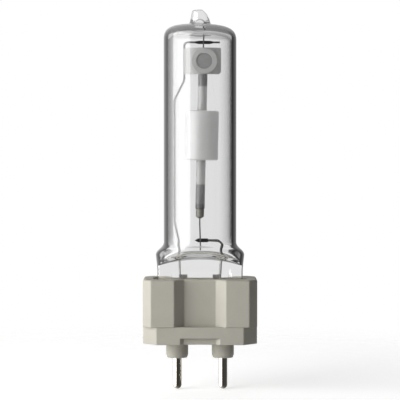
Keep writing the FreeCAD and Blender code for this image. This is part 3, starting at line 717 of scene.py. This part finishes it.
def crown_points(radius, top, height, power, last, steps):
    """Points of a domed crown, from the tube in to the last radius."""
    whole = math.acos(clamp((last / radius) ** (power / 2)))
    points = []
    for step in range(steps + 1):
        turn = whole * step / steps
        r = radius * math.cos(turn) ** (2 / power)
        z = top - height + height * math.sin(turn) ** (2 / power)
        points.append((r, z))
    return points


def outer_meridian():
    """(half width, height) of the glass from the seal's foot to the tip, seen from the front."""
    points = [(SEAL_HALF_WIDTH - SEAL_FOOT_EASE, SEAL_BOTTOM)]
    points += straight_points(SEAL_HALF_WIDTH, SEAL_BOTTOM + SEAL_FOOT_EASE, FLARE_START, SEAL_STEPS)
    for step in range(FLARE_STEPS):
        t = step / FLARE_STEPS
        width = blend(SEAL_HALF_WIDTH, FLARE_HALF_WIDTH, t * t * (2 - t))
        points.append((width, blend(FLARE_START, SEAL_TOP, t)))
    shoulder = (
        (FLARE_HALF_WIDTH, SEAL_TOP),
        (FLARE_HALF_WIDTH - SHOULDER_LEAN, SEAL_TOP + SHOULDER_PULL),
        (BULB_RADIUS, SHOULDER_END - SHOULDER_TUCK),
        (BULB_RADIUS, SHOULDER_END),
    )
    points += curve_points(shoulder, SHOULDER_STEPS)
    points += straight_points(BULB_RADIUS, SHOULDER_END, CROWN_TOP - CROWN_HEIGHT, TUBE_STEPS)
    points += crown_points(BULB_RADIUS, CROWN_TOP, CROWN_HEIGHT, CROWN_POWER,
                           TIP_FOOT_RADIUS + TIP_ROOT_FLARE, CROWN_STEPS)
    points += curve_points(TIP_SIDE, TIP_SIDE_STEPS)
    points += curve_points(TIP_END, TIP_END_STEPS)
    return points


def inner_meridian():
    """(half width, height) of the space inside, from its foot in the seal to the top of the tip's bore."""
    side = FLARE_HALF_WIDTH - BULB_WALL
    radius = BULB_RADIUS - BULB_WALL
    shoulder = (
        (side, INNER_JAW_ROOT - arch_drop(side)),
        (side, SEAL_TOP + INNER_SHOULDER_PULL),
        (radius, SHOULDER_END - SHOULDER_TUCK),
        (radius, INNER_SHOULDER_END),
    )
    points = curve_points(shoulder, INNER_SHOULDER_STEPS, INNER_SHOULDER_CROWDING)
    points += straight_points(radius, INNER_SHOULDER_END, INNER_CROWN_TOP - INNER_CROWN_HEIGHT, TUBE_STEPS)
    points += crown_points(radius, INNER_CROWN_TOP, INNER_CROWN_HEIGHT, INNER_CROWN_POWER,
                           BORE_RADIUS + BORE_ROOT_FLARE, INNER_CROWN_STEPS)
    points += curve_points(BORE, BORE_STEPS)
    return points


def glass_ring(width, height, foot, root, radius):
    """One ring of the glass: pressed flat between the jaws along their arch, and round above them."""
    share = arch_share(height)
    level = height + share * arch_drop(width)
    gap = jaw_gap(level, foot, root, radius)
    sharpness = blend(SLOT_SHARPNESS, OPEN_SHARPNESS, ease(root, root + SHARPNESS_RUN, level))
    tilt = CROWN_TILT * ease(CROWN_TILT_START, CROWN_TILT_FULL, height)
    slant = TIP_SLANT * ease(TIP_SLANT_START, TIP_SLANT_FULL, height)
    ring = []
    for index in range(RING_POINTS):
        turn = 2 * math.pi * index / RING_POINTS
        x = width * math.cos(turn)
        y = min(width, radius) * math.sin(turn)
        if height < JAW_END:
            y = held_in(y, gap, sharpness)
        sunk = share * arch_drop(x) + tilt * x / BULB_RADIUS + slant * max(0, x - TIP_SLANT_EDGE)
        ring.append([x, y, level - sunk])
    return ring


def press_groove(ring):
    """Presses the shallow groove into a ring of the seal, on both faces."""
    for point in ring:
        x, y, z = point
        inside = 1 - ease(GROOVE_HALF_WIDTH - GROOVE_SIDE_SOFT, GROOVE_HALF_WIDTH + GROOVE_SIDE_SOFT,
                          abs(x))
        below = 1 - ease(GROOVE_TOP - GROOVE_FADE_BELOW, GROOVE_TOP + GROOVE_FADE_ABOVE, z)
        point[1] -= math.copysign(min(GROOVE_DEPTH * inside * below, abs(y)), y)
    return ring


def skin(rings, apex, inward):
    """Vertices and faces of a closed skin on the rings, shut at its foot and met in a point above."""
    count = RING_POINTS
    vertices = [tuple(point) for ring in rings for point in ring] + [apex]
    faces = []
    for level in range(len(rings) - 1):
        low = level * count
        high = low + count
        for index in range(count):
            after = (index + 1) % count
            faces.append((low + index, low + after, high + after, high + index))
    top = (len(rings) - 1) * count
    peak = len(vertices) - 1
    for index in range(count):
        faces.append((top + index, top + (index + 1) % count, peak))
    for index in range(count // 2):
        faces.append((index, (count - index) % count, count - index - 1, index + 1))
    if inward:
        faces = [tuple(reversed(face)) for face in faces]
    return vertices, faces


def make_bulb():
    """The outer bulb as one thick-walled piece of quartz."""
    outer = []
    for width, height in outer_meridian():
        ring = glass_ring(width, height, SEAL_HALF_THICKNESS, JAW_ROOT, BULB_RADIUS)
        outer.append(press_groove(ring))
    inner = []
    for width, height in inner_meridian():
        inner.append(glass_ring(width, height, HOLLOW_HALF_FOOT, INNER_JAW_ROOT, BULB_RADIUS - BULB_WALL))
    vertices, faces = skin(outer, (0, 0, TIP_TOP), False)
    inner_vertices, inner_faces = skin(inner, (0, 0, BORE_TOP), True)
    offset = len(vertices)
    faces += [tuple(index + offset for index in face) for face in inner_faces]
    bulb = new_piece("quartz_bulb", vertices + inner_vertices, faces, FINISHES["quartz_glass"])
    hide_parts("outer_bulb")
    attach(bulb, "root")


# Stage, light and camera

# The floor, which fades into the white background
FLOOR_LEVEL = cad_box[0][2]
FLOOR_RADIUS = 0.3
FLOOR_SIDES = 96
FLOOR_FADE_START = 0.05
FLOOR_FADE_END = 0.16
FLOOR_GLOW = 0.5
FLOOR_GREY = (0.82, 0.82, 0.82)

# The studio. Bounds without a unit are parts of a direction of length one.
WHITE_SEEN_THROUGH = 0.80
STUDIO_LEFT = 0.40
STUDIO_RIGHT = 0.08
STUDIO_FRONT = 0.35
FRONT_FULL = -0.9
FRONT_END = -0.6
STUDIO_DIFFUSE = 0.12
BACKDROP_FILL = 0.6
FILL_START = 0.2
FILL_FULL = 0.7
BULB_FILL = 0.90
CAUGHT_GLOW = 0.22
CAUGHT_START = 0.65
CAUGHT_FULL = 0.97
STEEP_GLOW = 0.22
STEEP_START = 0.12
STEEP_FULL = 0.45
RETURNED_GLOW = 0.20
RETURNED_START = -0.5
RETURNED_FULL = -0.85
PANEL_GLOW = 2.9
PANEL_NEAR = math.radians(30)
PANEL_FAR = math.radians(94)
PANEL_NEAR_SOFT = math.radians(15)
PANEL_FAR_SOFT = math.radians(5)
PANEL_FULL = 0.62
PANEL_END = 0.7
BACKDROP_GLOW_LEFT = 0.8
BACKDROP_GLOW_RIGHT = 0.42
BACKDROP_LEFT = math.radians(92)
BACKDROP_RIGHT = math.radians(129)
BACKDROP_SOFT = math.radians(11)

# The soft light on the left
KEY_DISTANCE = 0.5
KEY_TURN = math.radians(62)
KEY_WIDTH = 0.62
KEY_HEIGHT = 0.5
KEY_LEVEL = 0.12
KEY_AIM = 60 * MM
KEY_POWER = 5.0

CAMERA_PLACE = (0.0, -0.450, 57 * MM)
CAMERA_DROP = math.radians(2.0)
CAMERA_LENS = 154.7
CAMERA_SENSOR = 36.0


def make_floor_material():
    """Pale matt floor, clear for reflections and towards its rim."""
    material, tree, output = new_material("Pale floor")
    fade = step_mask(tree, distance_from_axis(tree), FLOOR_FADE_START, FLOOR_FADE_END)
    path = add_node(tree, "ShaderNodeLightPath").outputs
    seen = math_node(tree, "MAXIMUM", path["Is Camera Ray"], path["Is Transmission Ray"])
    ground = add_node(tree, "ShaderNodeBsdfPrincipled", {
        "Base Color": opaque(FLOOR_GREY), "Roughness": 0.9,
        "Emission Color": opaque(WHITE), "Emission Strength": product(tree, seen, FLOOR_GLOW),
    })
    clear = add_node(tree, "ShaderNodeBsdfTransparent")
    gone = math_node(tree, "MAXIMUM", fade, path["Is Glossy Ray"])
    finish_with(tree, mix_shaders(tree, gone, ground, clear), output)
    return material


def make_floor():
    """Pale round floor under the pins."""
    vertices = [(0, 0, FLOOR_LEVEL)]
    for index in range(FLOOR_SIDES):
        turn = 2 * math.pi * index / FLOOR_SIDES
        vertices.append((FLOOR_RADIUS * math.cos(turn), FLOOR_RADIUS * math.sin(turn), FLOOR_LEVEL))
    faces = [(0, index + 1, (index + 1) % FLOOR_SIDES + 1) for index in range(FLOOR_SIDES)]
    floor = new_piece("floor", vertices, faces, make_floor_material(), smooth=False)


def bright_studio(tree, axes):
    """Glow of the panel on the left and of the white backdrop behind, by direction."""
    turn = math_node(tree, "ARCTAN2", product(tree, axes[0], -1.0), product(tree, axes[1], -1.0))
    near = step_mask(tree, turn, PANEL_NEAR - PANEL_NEAR_SOFT, PANEL_NEAR + PANEL_NEAR_SOFT)
    far = step_mask(tree, turn, PANEL_FAR + PANEL_FAR_SOFT, PANEL_FAR - PANEL_FAR_SOFT)
    level = step_mask(tree, math_node(tree, "ABSOLUTE", axes[2]), PANEL_END, PANEL_FULL)
    left = step_mask(tree, turn, BACKDROP_LEFT - BACKDROP_SOFT, BACKDROP_LEFT + BACKDROP_SOFT)
    right = step_mask(tree, turn, BACKDROP_SOFT - BACKDROP_RIGHT, -BACKDROP_SOFT - BACKDROP_RIGHT)
    backdrop = math_node(tree, "MULTIPLY_ADD", left, BACKDROP_GLOW_LEFT,
                         product(tree, right, BACKDROP_GLOW_RIGHT))
    return math_node(tree, "MULTIPLY_ADD", product(tree, near, far, level), PANEL_GLOW, backdrop)


def dim_studio(tree, axes, inside):
    """Glow of the dim sides and the darker front. Rays that have passed the glass see a little more light
    behind, above, below and in front."""
    across = carried(tree, axes[0], (-1.0, 1.0), (STUDIO_LEFT, STUDIO_RIGHT), "SMOOTHSTEP")
    front = carried(tree, axes[1], (FRONT_FULL, FRONT_END), (STUDIO_FRONT, 1.0), "SMOOTHSTEP")
    caught = step_mask(tree, axes[1], CAUGHT_START, CAUGHT_FULL)
    steep = step_mask(tree, math_node(tree, "ABSOLUTE", axes[2]), STEEP_START, STEEP_FULL)
    returned = step_mask(tree, axes[1], RETURNED_START, RETURNED_FULL)
    glow = product(tree, across, front)
    for mask, strength in ((caught, CAUGHT_GLOW), (steep, STEEP_GLOW), (returned, RETURNED_GLOW)):
        glow = math_node(tree, "MULTIPLY_ADD", product(tree, inside, mask), strength, glow)
    return glow


def fill_light(tree, axes, inside):
    """Light on matt surfaces: from all round, more from behind, and more again on pieces in the bulb."""
    behind = step_mask(tree, axes[1], FILL_START, FILL_FULL)
    fill = math_node(tree, "MULTIPLY_ADD", behind, BACKDROP_FILL, STUDIO_DIFFUSE)
    return math_node(tree, "MULTIPLY_ADD", inside, BULB_FILL, fill)


def make_world():
    """White background, even and a little dimmer where it is seen straight through the glass, and a studio
    for everything else. Only reflections on the lamp's outside see the studio's bright parts."""
    world = bpy.data.worlds.new("Studio")
    bpy.context.scene.world = world
    world.use_nodes = True
    tree = world.node_tree
    tree.nodes.clear()
    output = tree.nodes.new("ShaderNodeOutputWorld")
    way = add_node(tree, "ShaderNodeTexCoord").outputs["Generated"]
    axes = add_node(tree, "ShaderNodeSeparateXYZ", {0: way}).outputs
    path = add_node(tree, "ShaderNodeLightPath").outputs
    glossy = math_node(tree, "MINIMUM", path["Glossy Depth"], 1.0)
    sharp = rest_of(tree, math_node(tree, "MINIMUM", path["Diffuse Depth"], 1.0))
    outside = math_node(tree, "LESS_THAN", path["Transmission Depth"], 1.0)
    inside = rest_of(tree, outside)
    through = product(tree, path["Is Transmission Ray"], rest_of(tree, glossy), sharp)
    mirrored = product(tree, glossy, sharp, outside)
    reflected = math_node(tree, "MULTIPLY_ADD", mirrored, bright_studio(tree, axes),
                          dim_studio(tree, axes, inside))
    lit = mix_value(tree, sharp, fill_light(tree, axes, inside), reflected)
    seen = mix_value(tree, through, lit, WHITE_SEEN_THROUGH)
    strength = mix_value(tree, path["Is Camera Ray"], seen, 1.0)
    background = add_node(tree, "ShaderNodeBackground", {"Color": opaque(WHITE), "Strength": strength})
    finish_with(tree, background, output)


def aimed(thing, place, target):
    """Puts a lamp or the camera at a place and turns it towards a target."""
    thing.location = place
    thing.rotation_euler = (Vector(target) - Vector(place)).to_track_quat("-Z", "Y").to_euler()
    bpy.context.scene.collection.objects.link(thing)


def make_key_light():
    """One large soft panel on the left, which neither the camera nor rays through the glass see."""
    data = bpy.data.lights.new("Key panel", "AREA")
    data.shape = "RECTANGLE"
    data.size = KEY_WIDTH
    data.size_y = KEY_HEIGHT
    data.energy = KEY_POWER
    panel = bpy.data.objects.new("Key panel", data)
    place = (-KEY_DISTANCE * math.sin(KEY_TURN), -KEY_DISTANCE * math.cos(KEY_TURN), KEY_LEVEL)
    aimed(panel, place, (0, 0, KEY_AIM))
    panel.visible_camera = False
    panel.visible_transmission = False


def make_camera():
    """The photograph's view: from the front and a little above."""
    data = bpy.data.cameras.new("Camera")
    data.lens = CAMERA_LENS
    data.sensor_width = CAMERA_SENSOR
    camera = bpy.data.objects.new("Camera", data)
    x, y, z = CAMERA_PLACE
    aimed(camera, CAMERA_PLACE, (x, 0.0, z + y * math.tan(CAMERA_DROP)))
    bpy.context.scene.camera = camera


bpy.context.scene.view_settings.view_transform = "Standard"
dress_solids()
make_bulb()
make_floor()
make_world()
make_key_light()
make_camera()
